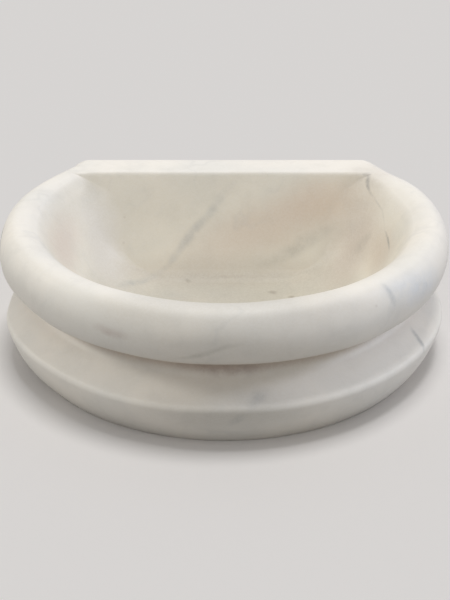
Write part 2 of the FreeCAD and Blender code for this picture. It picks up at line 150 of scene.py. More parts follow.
# Share of a lens, out from its middle, that is at full strength
LENS_CORE = 0.1
BROAD_TINTS_AND_SHADE = [
    # Greenish beige and rosy at the left of the bowl, and orange beige at its right, which on the right wall
    # is partly painted shade
    Streak("#E3DAC8", 0.16, (-165, 155, 135), (0, 140, 95), 45, 30, BACK_WALL_FACING),
    Streak("#D3C1B5", 0.45, (-190, -40, 110), (-180, 140, 115), 45, 30, OUTWARD),
    Streak("#D6B69D", 0.31, (190, 157, 140), (-90, 126, 48), 48, 30, BACK_WALL_FACING),
    Streak("#D4B397", 0.23, (190, 152, 132), (40, 150, 118), 40, 30, BACK_WALL_FACING),
    # Orange beige and painted shade over the right wall of the bowl
    Streak("#C5B39F", 0.5, (185, -20, 105), (165, 130, 105), 45, 35, OUTWARD),
    # Painted shade, greyer, down the round corners between the bowl and its back wall
    Streak("#C8BDB0", 0.85, (186, 190, 192), (138, 48, -26), 58, 60, (-0.6, -0.6, 0.5)),
    Streak("#D6D1C8", 0.8, (-163, 169, 164), (-138, 60, -20), 48, 50, (0.6, -0.6, 0.5)),
    # Painted shade, duller, along the foot of the back wall
    Streak("#B9AC9C", 0.27, (-230, 117, 44), (230, 117, 44), 32, 30, (0, -0.6, 0.8)),
    # Painted shade in front: greyer down the rim and the flare, and along the crest and the arris
    Streak("#C4BFB5", 0.26, (-165, -180, 105), (165, -180, 105), 100, 90, OUTWARD),
    Streak("#C4BEB3", 0.4, (-230, -180, 152), (250, -166, 152), 42, 28, UP),
    Streak("#B9B4AA", 0.36, (-120, -201, 46), (120, -201, 46), 30, 60, OUTWARD),
]
STREAKS = [
    # Blue-grey line down the back wall, and the smudge that carries it over the bowl
    Streak("#8A9097", 0.27, (28, 165, 165), (-100, 116, 18), 9, 22, BACK_WALL_FACING),
    Streak("#959A98", 0.34, (-76, 128, 42), (-140, 66, 44), 8, 15, UP),
    # Olive-grey blotches across the right of the back wall and down the bowl
    Streak("#8A8578", 0.24, (155, 146, 108), (24, 120, 37), 14, 24, BACK_WALL_FACING),
    Streak("#8A867B", 0.25, (176, 98, 110), (148, 102, 72), 14, 22, OUTWARD),
    # Dark crack-like line down the right of the bowl
    Streak("#5F646A", 0.6, (166, 168, 162), (181, 126, 134), 3, 14, OUTWARD),
    Streak("#6A6E72", 0.2, (177, 145, 144), (185, 70, 116), 2, 14, OUTWARD),
    Streak("#5F6468", 0.5, (184, 85, 118), (187, 22, 114), 2.4, 14, OUTWARD),
    # Brown line and stains where the wall meets the floor
    Streak("#94826F", 0.25, (-58, 119, 35), (56, 120, 38), 3, 5, UP),
    Streak("#6B5843", 0.6, (50, 86, 34), (66, 78, 34), 6, 5, UP),
    Streak("#75644F", 0.5, (72, 73, 35), (84, 70, 35), 5, 5, UP),
    Streak("#7C6F60", 0.4, (-50, 118, 35), (-38, 111, 35), 5, 5, UP),
    # Blue-grey cloud over the right of the rim, and the lines in it and below it
    Streak("#CFD8E4", 0.5, (146, -152, 146), (236, -50, 124), 24, 26, OUTWARD),
    Streak("#8E969D", 0.4, (157, -132, 158), (174, -136, 128), 7, 15, OUTWARD),
    Streak("#747C84", 0.55, (200, -52, 66), (217, -86, 44), 5, 14, OUTWARD),
    # Grey blotches down the middle of the flare and the underside
    Streak("#868B8E", 0.28, (45, -176, 64), (20, -203, 47), 10, 14, OUTWARD),
    Streak("#979B9B", 0.22, (26, -201, 47), (0, -198, 28), 9, 14, OUTWARD),
    # Brownish streaks along the lower half of the rim, and a brownish stain in the cove that is partly
    # painted shade
    Streak("#8F8B76", 0.28, (-66, -188, 102), (28, -207, 131), 5, 14, OUTWARD),
    Streak("#A8897C", 0.3, (-134, -166, 128), (-86, -188, 126), 8, 12, OUTWARD),
    Streak("#8A6E62", 0.5, (-80, -166, 80), (70, -164, 80), 13, 16, OUTWARD),
    # Dark line over the left end of the rim
    Streak("#6F757A", 0.7, (-244, 44, 148), (-249, -16, 126), 4.5, 14, OUTWARD),
]

# Lamps, far away and soft. Azimuth is counted from the front to the right, and at a level of 1 a lamp would
# light a white surface that faces it to full white.
Lamp = namedtuple("Lamp", "name azimuth elevation spread level colour")
OVERHEAD_LAMP = Lamp("overhead_softbox", 118, 86, 18, 0.35, "#FFFFFF")
SCREENED_LAMPS = [
    Lamp("front_softbox", 0, 42, 30, 0.09, "#FFFFFF"),
    Lamp("right_lamp", 95, 28, 13, 0.32, "#E4EBFF"),
    Lamp("left_lamp", 265, 30, 13, 0.25, "#FFFDF8"),
]
# Light from all round, the colour of the room beyond the floor, and half the floor's width in metres
ROOM_LIGHT = 0.34
ROOM_COLOUR = "#D6D3D2"
FLOOR_HALF_WIDTH = 6

# Camera, as fitted to the outlines in the photograph
CAMERA_PLACE = (0, -1246.1 * MM, 720.9 * MM)
CAMERA_PITCH = math.radians(27.65)
CAMERA_LENS = 50
SENSOR_HEIGHT = 24


def smooth_step(amount, low, high):
    """Nothing up to the low end, one from the high end on, and a soft rise between them."""
    share = min(max((amount - low) / (high - low), 0), 1)
    return share * share * (3 - 2 * share)


# Outlines of the stone, drawn in the XZ plane through the plan centre

def only(kind, geometry):
    return [part for part in geometry if isinstance(part, kind)]


def add_arc(bm, tip, centre, sweep):
    """Carries an outline on from its tip round a centre, anticlockwise if the sweep is above zero."""
    middle = Vector((centre[0], PLAN_CENTRE, centre[1]))
    steps = max(FEWEST_ARC_STEPS, round((tip.co - middle).length * abs(sweep) / STEP))
    turned = bmesh.ops.spin(bm, geom=[tip], cent=middle, axis=(0, -1, 0), angle=sweep, steps=steps)
    return only(bmesh.types.BMVert, turned["geom_last"])[0]


def add_run(bm, tip, radius, level):
    """Carries an outline straight on from its tip to a place."""
    way = Vector((radius, PLAN_CENTRE, level)) - tip.co
    steps = round(way.length / STEP)
    moved = bmesh.ops.spin(bm, geom=[tip], cent=tip.co, axis=(0, -1, 0), dvec=way / steps, angle=0,
                           steps=steps)
    return only(bmesh.types.BMVert, moved["geom_last"])[0]


def draw_outside(bm):
    """From the crest of the rim down: roll, cove, flare, arris and the rounded underside to the foot."""
    roll_turn = math.atan2(ROLL_HEIGHT / 2 - ROLL_SHOULDER, CREST_RADIUS - RIM_RADIUS + ROLL_FACE)
    shoulder_turn = math.pi / 2 - roll_turn
    roll_foot = HEIGHT - ROLL_HEIGHT
    neck_level = roll_foot - NECK_ROUND
    tip = bm.verts.new((CREST_RADIUS, PLAN_CENTRE, HEIGHT))
    tip = add_arc(bm, tip, (CREST_RADIUS, HEIGHT - ROLL_SHOULDER), -shoulder_turn)
    tip = add_arc(bm, tip, (RIM_RADIUS - ROLL_FACE, HEIGHT - ROLL_HEIGHT / 2), -2 * roll_turn)
    tip = add_arc(bm, tip, (CREST_RADIUS, roll_foot + ROLL_SHOULDER), -shoulder_turn)
    tip = add_arc(bm, tip, (CREST_RADIUS, neck_level), math.pi / 2)
    tip = add_arc(bm, tip, (tip.co.x + FLARE_ROUND, neck_level), FLARE_SWEEP)
    edge_radius = tip.co.x + FLARE_RUN * math.sin(FLARE_SWEEP)
    tip = add_run(bm, tip, edge_radius, tip.co.z - FLARE_RUN * math.cos(FLARE_SWEEP))
    arris_centre = tip.co.x - ARRIS_ROUND * math.cos(FLARE_SWEEP)
    arris_middle = tip.co.z - ARRIS_ROUND * math.sin(FLARE_SWEEP)
    tip = add_arc(bm, tip, (arris_centre, arris_middle), -FLARE_SWEEP - UNDER_LEAN)
    under_centre = tip.co.x - UNDER_ROUND * math.cos(UNDER_LEAN)
    under_middle = tip.co.z + UNDER_ROUND * math.sin(UNDER_LEAN)
    ease_turn = math.asin((under_middle - SAWN_EASE) / (UNDER_ROUND - SAWN_EASE))
    tip = add_arc(bm, tip, (under_centre, under_middle), UNDER_LEAN - ease_turn)
    ease_centre = under_centre + (UNDER_ROUND - SAWN_EASE) * math.cos(ease_turn)
    add_arc(bm, tip, (ease_centre, SAWN_EASE), ease_turn - math.pi / 2)


def draw_bowl(bm):
    """From the crest of the rim inwards: lip, leaning wall, and the round into the flat floor."""
    tip = bm.verts.new((CREST_RADIUS, PLAN_CENTRE, HEIGHT))
    tip = add_arc(bm, tip, (CREST_RADIUS, HEIGHT - LIP_ROUND), math.pi / 2 - WALL_LEAN)
    wall_level = FLOOR_LEVEL + BOWL_ROUND * (1 - math.sin(WALL_LEAN))
    wall_radius = tip.co.x - (tip.co.z - wall_level) * math.tan(WALL_LEAN)
    tip = add_run(bm, tip, wall_radius, wall_level)
    round_centre = wall_radius - BOWL_ROUND * math.cos(WALL_LEAN)
    add_arc(bm, tip, (round_centre, FLOOR_LEVEL + BOWL_ROUND), WALL_LEAN - math.pi / 2)


# The sawn back and the inner back wall: their reach behind the plan centre, and how round their corners are

def back_reach(level):
    """The sawn back, eased at the ledge and at the foot."""
    into_ease = max(level - HEIGHT + SAWN_EASE, SAWN_EASE - level, 0)
    return BACK_DEPTH - SAWN_EASE + math.sqrt(max(SAWN_EASE ** 2 - into_ease ** 2, 0))


def back_corner(level):
    """The corner between the outside and the sawn back is eased alike at every level."""
    return SAWN_EASE


def inner_wall_reach(level):
    """The leaning inner wall, rounded to the ledge above it and to the floor below it."""
    slope = math.tan(BACK_BATTER)
    if level > HEIGHT - LEDGE_RUN * math.cos(BACK_BATTER):
        above = level - HEIGHT + LEDGE_ROUND
        return LEDGE_FRONT - math.sqrt(max(LEDGE_ROUND ** 2 - above ** 2, 0))
    below = FLOOR_LEVEL + FLOOR_CREASE_ROUND - level
    if below > FLOOR_CREASE_ROUND * math.sin(BACK_BATTER):
        foot = LEDGE_CORNER - (HEIGHT - FLOOR_LEVEL) * slope
        centre = foot - FLOOR_CREASE_ROUND * (1 / math.cos(BACK_BATTER) - slope)
        return centre + math.sqrt(max(FLOOR_CREASE_ROUND ** 2 - below ** 2, 0))
    return LEDGE_CORNER - (HEIGHT - level) * slope


def inner_wall_corner(level):
    """The corner between the bowl and its back wall is round, and sharpens to the ledge and the floor."""
    widened = smooth_step(level, *CREASE_WIDENS)
    corner = CREASE_TIGHT + (CREASE_ROUND - CREASE_TIGHT) * widened
    return corner * smooth_step(HEIGHT - level, 0, CREASE_FADE)


def half_round_place(turn, radius, chord, corner, side_steps):
    """Where a point of a turned ring goes when the ring becomes a half round with a straight back.

    The turn is counted from the front. The front keeps its even steps, the sides run on as far as the
    corner, and the corner is an arc that meets the straight back."""
    corner_centre = math.sqrt((radius - corner) ** 2 - (chord - corner) ** 2)
    arc_end = math.pi / 2 + math.atan2(chord - corner, corner_centre)
    front_end = SPLIT_TURN if side_steps else arc_end
    side_end = SPLIT_TURN + side_steps * TURN_STEP
    away = abs(turn)
    if away > side_end + TINY:
        share = (away - side_end) / (CORNER_STEPS * TURN_STEP)
        away = arc_end + share * (math.pi - arc_end)
        across = corner_centre + corner * math.sin(away)
        return math.copysign(across, turn), chord - corner - corner * math.cos(away)
    if away > SPLIT_TURN + TINY:
        share = (away - SPLIT_TURN) / (side_end - SPLIT_TURN)
        away = front_end + share * (arc_end - front_end)
    else:
        away = away * front_end / SPLIT_TURN
    return math.copysign(radius * math.sin(away), turn), -radius * math.cos(away)


def turn_half_round(bm, draw, reach, corner, side_steps):
    """Turns an outline about the plan centre, gives each ring a straight back, and closes that back."""
    before = set(bm.verts)
    draw(bm)
    outline = [vert for vert in bm.verts if vert not in before]
    lines = list(dict.fromkeys(line for vert in outline for line in vert.link_edges))
    half_steps = FRONT_STEPS // 2 + side_steps + CORNER_STEPS
    half_turn = half_steps * TURN_STEP
    to_start = Matrix.Rotation(half_turn - math.pi / 2, 3, "Z")
    bmesh.ops.rotate(bm, verts=outline, cent=PLAN_AXIS, matrix=to_start)
    turned = bmesh.ops.spin(bm, geom=outline + lines, cent=PLAN_AXIS, axis=(0, 0, 1),
                            angle=-2 * half_turn, steps=2 * half_steps)
    for vert in [vert for vert in bm.verts if vert not in before]:
        out = vert.co - PLAN_AXIS
        turn = math.atan2(out.x, -out.y)
        level = vert.co.z
        radius = math.hypot(out.x, out.y)
        across, behind = half_round_place(turn, radius, reach(level), corner(level), side_steps)
        vert.co = (across, PLAN_CENTRE + behind, level)
    far_lines = only(bmesh.types.BMEdge, turned["geom_last"])
    bmesh.ops.bridge_loops(bm, edges=lines + far_lines)


def close_ledge(bm):
    """The flat ledge, from the left end of the rim's crest to the right end."""
    front = PLAN_CENTRE + LEDGE_FRONT
    sides = []
    for line in bm.edges:
        on_ledge = all(abs(vert.co.z - HEIGHT) < TINY and vert.co.y > front - TINY for vert in line.verts)
        if on_ledge and line.verts[0].co.x * line.verts[1].co.x > 0:
            sides.append(line)
    bmesh.ops.bridge_loops(bm, edges=sides)


def divide_back(bm):
    """Divides the strips of the back, the ledge and the inner wall into even columns."""
    across = []
    for line in bm.edges:
        left, right = line.verts
        level_pair = left.co.x * right.co.x < 0 and abs(left.co.x + right.co.x) < LEVEL_GAP
        if level_pair and line.calc_length() > 2 * STEP:
            across.append(line)
    bmesh.ops.subdivide_edges(bm, edges=across, cuts=BACK_COLUMNS - 1, use_grid_fill=True)


def turn_waste_cut(bm):
    """Recess under the foot, drain hole, and the seat for the flange, with their edges eased."""
    outline = [
        (RECESS_RADIUS + ARRIS_EASE, 0),
        (RECESS_RADIUS, ARRIS_EASE),
        (RECESS_RADIUS, RECESS_TOP),
        (HOLE_RADIUS + ARRIS_EASE, RECESS_TOP),
        (HOLE_RADIUS, RECESS_TOP + ARRIS_EASE),
        (HOLE_RADIUS, SEAT_LEVEL - ARRIS_EASE),
        (HOLE_RADIUS + ARRIS_EASE, SEAT_LEVEL),
        (SEAT_RADIUS, SEAT_LEVEL),
        (SEAT_RADIUS, FLOOR_LEVEL - ARRIS_EASE),
        (SEAT_RADIUS + ARRIS_EASE, FLOOR_LEVEL),
    ]
    corners = [bm.verts.new((radius, 0, level)) for radius, level in outline]
    lines = [bm.edges.new(pair) for pair in zip(corners, corners[1:])]
    bmesh.ops.spin(bm, geom=corners + lines, cent=(0, 0, 0), axis=(0, 0, 1), angle=math.tau,
                   steps=WASTE_STEPS, use_merge=True)


def fill_level(bm, level):
    """Closes the flat face between the two open rings at a level."""
    rims = [line for line in bm.edges
            if line.is_boundary and all(abs(vert.co.z - level) < TINY for vert in line.verts)]
    bmesh.ops.triangle_fill(bm, edges=rims, use_beauty=True)


def wear_by_hand(bm):
    """A long shallow waviness and a few uneven places, as hand carving leaves them.

    The foot, the sawn back and the stone round the waste stay true."""
    noise.seed_set(WAVE_SEED)
    for vert in bm.verts:
        place = vert.co.copy()
        low_down = place.z < FLOOR_LEVEL + STEP
        from_drain = math.hypot(place.x, place.y) if low_down else DRAIN_FADE[1]
        free = (smooth_step(place.z, *FOOT_FADE)
                * smooth_step(PLAN_CENTRE + BACK_DEPTH - place.y, *BACK_FADE)
                * smooth_step(from_drain, *DRAIN_FADE))
        wave = noise.noise_vector(place / WAVE_LENGTH)
        vert.co += wave * WAVE_DEPTH * free
        for spot in UNEVEN_PLACES:
            away = (place / MM - Vector(spot.place)).length / spot.reach
            vert.co += Vector(spot.push) * MM * math.exp(-away ** 2) * free


def make_basin(material):
    """The carved block, closed and worn, in place of its plain solid."""
    bm = bmesh.new()
    turn_half_round(bm, draw_outside, back_reach, back_corner, SIDE_STEPS)
    turn_half_round(bm, draw_bowl, inner_wall_reach, inner_wall_corner, 0)
    bmesh.ops.remove_doubles(bm, verts=bm.verts, dist=MERGE_GAP)
    close_ledge(bm)
    divide_back(bm)
    turn_waste_cut(bm)
    fill_level(bm, 0)
    fill_level(bm, FLOOR_LEVEL)
    bmesh.ops.recalc_face_normals(bm, faces=bm.faces)
    wear_by_hand(bm)
    mesh = bpy.data.meshes.new("basin_carved")
    bm.to_mesh(mesh)
    bm.free()
    mesh.shade_smooth()
    mesh.set_sharp_from_angle(angle=SHARP_ANGLE)
    mesh.materials.append(material)
    basin = bpy.data.objects.new("basin_carved", mesh)
    bpy.context.collection.objects.link(basin)
    basin.modifiers.new("even_shading", "WEIGHTED_NORMAL").keep_sharp = True
    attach(basin, "basin")
    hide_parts("basin_body")
    return basin


# Materials

def paint(hex_code):
    """A colour written as sRGB, in linear light."""
    parts = [int(hex_code[at:at + 2], 16) / 255 for at in (1, 3, 5)]
    return (*[part / 12.92 if part <= 0.04045 else ((part + 0.055) / 1.055) ** 2.4 for part in parts], 1)


def feed(tree, node, inputs):
    """Gives each input of a node, by name or number, a value, a socket, or the result of another node."""
    for name, source in inputs.items():
        if isinstance(source, bpy.types.Node):
            source = next(socket for socket in source.outputs if socket.enabled)
        if isinstance(source, bpy.types.NodeSocket):
            tree.links.new(source, node.inputs[name])
        else:
            node.inputs[name].default_value = source


def add(tree, kind, inputs, **settings):
    """Adds a node with its settings and links."""
    made = tree.nodes.new(kind)
    for name, setting in settings.items():
        setattr(made, name, setting)
    feed(tree, made, inputs)
    return made


def new_material(name):
    """A material with its nodes, its shader, and the place of each point of the piece in metres."""
    material = bpy.data.materials.new(name)
    material.use_nodes = True
    tree = material.node_tree
    place = add(tree, "ShaderNodeTexCoord", {}).outputs["Object"]
    return material, tree, tree.nodes["Principled BSDF"], place


def bend_place(tree, place):
    """Moves each point a few millimetres by noise, so that what lies in straight sheets runs unevenly."""
    for size, shift in ((55 * MM, 11 * MM), (13 * MM, 3 * MM)):
        push = add(tree, "ShaderNodeTexNoise", {"Vector": place, "Scale": 1 / size, "Detail": 2})
        push = add(tree, "ShaderNodeVectorMath", {0: push.outputs["Color"], 1: (0.5, 0.5, 0.5)},
                   operation="SUBTRACT")
        push = add(tree, "ShaderNodeVectorMath", {0: push, "Scale": shift}, operation="SCALE")
        place = add(tree, "ShaderNodeVectorMath", {0: place, 1: push}, operation="ADD")
    return place


def clouded_white(tree, place):
    """Warm white stone with broad greyer clouds and smaller dull patches."""
    broad = add(tree, "ShaderNodeTexNoise", {"Vector": place, "Scale": 1 / (110 * MM), "Detail": 3})
    broad = add(tree, "ShaderNodeMapRange", {"Value": broad, "From Min": 0.38, "From Max": 0.62})
    stone = add(tree, "ShaderNodeMix", {SHARE: broad, UNDER: paint("#F8F2E7"), OVER: paint("#EFEBE2")},
                data_type="RGBA")
    small = add(tree, "ShaderNodeTexNoise",
                {"Vector": place, "Scale": 1 / (24 * MM), "Detail": 5, "Roughness": 0.6})
    small = add(tree, "ShaderNodeMapRange",
                {"Value": small, "From Min": 0.48, "From Max": 0.72, "To Max": 0.3})
    return add(tree, "ShaderNodeMix", {SHARE: small, UNDER: stone, OVER: paint("#DFDBD2")},
               data_type="RGBA")


def bowl_share(tree, place):
    """One inside the bowl, nothing outside it."""
    out = add(tree, "ShaderNodeVectorMath", {0: place, 1: PLAN_AXIS}, operation="SUBTRACT")
    out = add(tree, "ShaderNodeVectorMath", {0: out, 1: (1, 1, 0)}, operation="MULTIPLY")
    out = add(tree, "ShaderNodeVectorMath", {0: out}, operation="LENGTH")
    ways = add(tree, "ShaderNodeSeparateXYZ", {0: place})
    ledge = PLAN_CENTRE + LEDGE_FRONT
    inside = add(tree, "ShaderNodeMapRange",
                 {"Value": out, "From Min": BOWL_EDGE[0], "From Max": BOWL_EDGE[1],
                  "To Min": 1, "To Max": 0})
    before_ledge = add(tree, "ShaderNodeMapRange",
                       {"Value": ways.outputs["Y"], "From Min": ledge - LEDGE_EDGE, "From Max": ledge,
                        "To Min": 1, "To Max": 0})
    above_foot = add(tree, "ShaderNodeMapRange",
                     {"Value": ways.outputs["Z"], "From Min": RECESS_TOP, "From Max": SEAT_LEVEL})
    share = add(tree, "ShaderNodeMath", {0: inside, 1: before_ledge}, operation="MULTIPLY")
    return add(tree, "ShaderNodeMath", {0: share, 1: above_foot}, operation="MULTIPLY")


def darker_floor_share(tree, bowl):
    """One on the floor of the bowl and less up its round sides, where the stone is made darker."""
    facing = add(tree, "ShaderNodeNewGeometry", {}).outputs["Normal"]
    upward = add(tree, "ShaderNodeSeparateXYZ", {0: facing}).outputs["Z"]
    level = add(tree, "ShaderNodeMapRange", {"Value": upward, "From Min": 0.4, "From Max": 0.8})
    return add(tree, "ShaderNodeMath", {0: level, 1: bowl}, operation="MULTIPLY")


def cove_shade_share(tree, place):
    """One at the bottom of the cove under the rim, where painted shade darkens the stone."""
    level = add(tree, "ShaderNodeSeparateXYZ", {0: place}).outputs["Z"]
    away = add(tree, "ShaderNodeMath", {0: level, 1: COVE_LEVEL}, operation="SUBTRACT")
    away = add(tree, "ShaderNodeMath", {0: away}, operation="ABSOLUTE")
    return add(tree, "ShaderNodeMapRange",
               {"Value": away, "From Min": COVE_SHADE_BAND[0], "From Max": COVE_SHADE_BAND[1], "To Min": 1, "To Max": 0},
               interpolation_type="SMOOTHSTEP")


def lay_streak(tree, stone, place, breaks, streak):
    """Lays a tint, painted shade, vein or stain over the stone: a soft lens between two places, weakened by
    the breaks.
    """
    start, end = Vector(streak.start) * MM, Vector(streak.end) * MM
    middle = (start + end) / 2
    facing = Vector(streak.facing) if streak.facing else (middle - PLAN_AXIS) * Vector((1, 1, 0))
    along = (end - start).normalized()
    across = along.cross(facing).normalized()
    turn = Matrix((along, across, along.cross(across))).transposed().to_euler()
    half_sizes = ((end - start).length / 2, streak.width * MM, streak.depth * MM)
    lens = add(tree, "ShaderNodeMapping",
               {"Vector": place, "Location": middle, "Rotation": turn, "Scale": half_sizes},
               vector_type="TEXTURE")
    far = add(tree, "ShaderNodeVectorMath", {0: lens}, operation="LENGTH")
    shown = add(tree, "ShaderNodeMapRange",
                {"Value": far, "From Min": LENS_CORE, "From Max": 1, "To Min": streak.strength, "To Max": 0},
                interpolation_type="SMOOTHSTEP")
    shown = add(tree, "ShaderNodeMath", {0: shown, 1: breaks}, operation="MULTIPLY")
    return add(tree, "ShaderNodeMix", {SHARE: shown, UNDER: stone, OVER: paint(streak.colour)},
               data_type="RGBA")


def lay_wisps(tree, stone, place):
    """Hair veins: thin grey lines that come and go all over the stone."""
    ridge = add(tree, "ShaderNodeTexNoise", {"Vector": place, "Scale": 1 / (80 * MM), "Detail": 3})
    ridge = add(tree, "ShaderNodeMath", {0: ridge, 1: 0.5}, operation="SUBTRACT")
    ridge = add(tree, "ShaderNodeMath", {0: ridge}, operation="ABSOLUTE")
    line = add(tree, "ShaderNodeMapRange",
               {"Value": ridge, "From Min": 0, "From Max": 0.03, "To Min": 0.1, "To Max": 0},
               interpolation_type="SMOOTHSTEP")
    where = add(tree, "ShaderNodeTexNoise", {"Vector": place, "Scale": 1 / (60 * MM), "Detail": 1})
    where = add(tree, "ShaderNodeMapRange", {"Value": where, "From Min": 0.5, "From Max": 0.66})
    shown = add(tree, "ShaderNodeMath", {0: line, 1: where}, operation="MULTIPLY")
    return add(tree, "ShaderNodeMix", {SHARE: shown, UNDER: stone, OVER: paint("#A9ABAB")},
               data_type="RGBA")


def lay_specks(tree, stone, place):
    """Rusty mineral specks, one or two millimetres wide, in a few of the cells of a pattern."""
    cells = add(tree, "ShaderNodeTexVoronoi", {"Vector": place, "Scale": 1 / (30 * MM)})
    chance = add(tree, "ShaderNodeSeparateColor", {0: cells.outputs["Color"]})
    chosen = add(tree, "ShaderNodeMapRange", {"Value": chance, "From Min": 0.74, "From Max": 0.8})
    speck = add(tree, "ShaderNodeMapRange",
                {"Value": cells, "From Min": 0, "From Max": 0.08, "To Min": 0.2, "To Max": 0})
    shown = add(tree, "ShaderNodeMath", {0: speck, 1: chosen}, operation="MULTIPLY")
    return add(tree, "ShaderNodeMix", {SHARE: shown, UNDER: stone, OVER: paint("#8F7A64")},
               data_type="RGBA")


def sawn_share(tree, place):
    """One on the sawn back and the sawn foot, nothing elsewhere."""
    ways = add(tree, "ShaderNodeSeparateXYZ", {0: place})
    back = PLAN_CENTRE + BACK_DEPTH
    on_back = add(tree, "ShaderNodeMapRange",
                  {"Value": ways.outputs["Y"],
                   "From Min": back - SAWN_SKIN[1], "From Max": back - SAWN_SKIN[0]})
    on_foot = add(tree, "ShaderNodeMapRange",
                  {"Value": ways.outputs["Z"], "From Min": SAWN_SKIN[0], "From Max": SAWN_SKIN[1],
                   "To Min": 1, "To Max": 0})
    return add(tree, "ShaderNodeMath", {0: on_back, 1: on_foot}, operation="MAXIMUM")


def age_and_shade_stone(tree, stone, place, bowl, sawn):
    """The bowl a little yellow, its floor darker, and painted shade in the cove outside."""
    stone = add(tree, "ShaderNodeMix", {SHARE: bowl, UNDER: stone, OVER: paint("#FBFAF6")},
                data_type="RGBA", blend_type="MULTIPLY")
    # The floor of the bowl darker, most where it faces up
    darker_floor = darker_floor_share(tree, bowl)
    stone = add(tree, "ShaderNodeMix", {SHARE: darker_floor, UNDER: stone, OVER: paint("#DBDAD7")},
                data_type="RGBA", blend_type="MULTIPLY")
    clean = add(tree, "ShaderNodeMath", {0: bowl, 1: sawn}, operation="MAXIMUM")
    outside = add(tree, "ShaderNodeMath", {0: 1, 1: clean}, operation="SUBTRACT")
    # Painted shade at the bottom of the cove, under the rim
    cove_shade = add(tree, "ShaderNodeMath", {0: cove_shade_share(tree, place), 1: outside}, operation="MULTIPLY")
    return add(tree, "ShaderNodeMix", {SHARE: cove_shade, UNDER: stone, OVER: paint("#D6CBC3")},
               data_type="RGBA", blend_type="MULTIPLY")


def mark_stone(tree, stone, place):
    """Smooth broad tints and painted shade, then veins and stains broken up by noise, hair veins and specks.
    """
    bent = bend_place(tree, place)
    breaks = add(tree, "ShaderNodeTexNoise",
                 {"Vector": place, "Scale": 1 / (14 * MM), "Detail": 4, "Roughness": 0.6})
    breaks = add(tree, "ShaderNodeMapRange",
                 {"Value": breaks, "From Min": 0.34, "From Max": 0.6, "To Min": 0.4, "To Max": 1})
    for tint in BROAD_TINTS_AND_SHADE:
        stone = lay_streak(tree, stone, bent, 1, tint)
    for streak in STREAKS:
        stone = lay_streak(tree, stone, bent, breaks, streak)
    stone = lay_wisps(tree, stone, bent)
    return lay_specks(tree, stone, place)


def lay_grain(tree, stone, place):
    """Sugary grain: crystals a little lighter or darker than their neighbours."""
    grain = add(tree, "ShaderNodeTexVoronoi", {"Vector": place, "Scale": 1 / (1.8 * MM)})
    grain = add(tree, "ShaderNodeSeparateColor", {0: grain.outputs["Color"]})
    return add(tree, "ShaderNodeMix", {SHARE: 0.05, UNDER: stone, OVER: grain},
               data_type="RGBA", blend_type="OVERLAY")


def stone_roughness(tree, place, sawn):
    """A satin surface with duller patches, and a matt one where the stone is left sawn."""
    gloss = add(tree, "ShaderNodeTexNoise", {"Vector": place, "Scale": 1 / (28 * MM), "Detail": 3})
    gloss = add(tree, "ShaderNodeMapRange", {"Value": gloss, "To Min": 0.48, "To Max": 0.62})
    return add(tree, "ShaderNodeMix", {SHARE: sawn, UNDER_VALUE: gloss, OVER_VALUE: 0.72})


def stone_relief(tree, place, sawn):
    """Fine pits all over, and the lines of the saw on the back and the foot."""
    lines = add(tree, "ShaderNodeTexWave",
                {"Vector": place, "Scale": WAVE_REPEAT / (3.5 * MM), "Distortion": 2, "Detail": 2},
                bands_direction="Z")
    lines = add(tree, "ShaderNodeMath", {0: lines, 1: sawn}, operation="MULTIPLY")
    pits = add(tree, "ShaderNodeTexNoise", {"Vector": place, "Scale": 1 / (2.2 * MM), "Detail": 3})
    height = add(tree, "ShaderNodeMath", {0: lines, 1: 1.5, 2: pits}, operation="MULTIPLY_ADD")
    return add(tree, "ShaderNodeBump", {"Height": height, "Strength": 0.35, "Distance": 0.12 * MM})


def make_marble():
    """Honed white marble: warm white with grey veins and rusty stains through the block, aged by use."""
    material, tree, shader, place = new_material("honed_white_marble")
    bowl = bowl_share(tree, place)
    sawn = sawn_share(tree, place)
    stone = clouded_white(tree, place)
    stone = age_and_shade_stone(tree, stone, place, bowl, sawn)
    stone = mark_stone(tree, stone, place)
    stone = lay_grain(tree, stone, place)
    rough = stone_roughness(tree, place, sawn)
    relief = stone_relief(tree, place, sawn)
    feed(tree, shader, {"Base Color": stone, "Roughness": rough, "Normal": relief})
    return material


def make_chrome():
    """Chrome plate over polished brass: a cool mirror with fine wiping scratches and dull water spots."""
    material, tree, shader, place = new_material("chrome_plate")
    spots = add(tree, "ShaderNodeTexVoronoi", {"Vector": place, "Scale": 1 / (7 * MM)})
    spots = add(tree, "ShaderNodeMapRange",
                {"Value": spots, "From Min": 0.12, "From Max": 0.24, "To Min": 1, "To Max": 0})
    drawn = add(tree, "ShaderNodeMapping", {"Vector": place, "Rotation": (0, 0, 0.6), "Scale": (1, 14, 1)})
    wiped = add(tree, "ShaderNodeTexNoise", {"Vector": drawn, "Scale": 1 / (6 * MM), "Detail": 4})
    wiped = add(tree, "ShaderNodeMapRange", {"Value": wiped, "To Min": 0.05, "To Max": 0.16})
    rough = add(tree, "ShaderNodeMath", {0: spots, 1: 0.1, 2: wiped}, operation="MULTIPLY_ADD")
    metal = add(tree, "ShaderNodeMix", {SHARE: spots, UNDER: paint("#E2E4E6"), OVER: paint("#D2D3D2")},
                data_type="RGBA")
    feed(tree, shader, {"Base Color": metal, "Metallic": 1, "Roughness": rough})
    return material


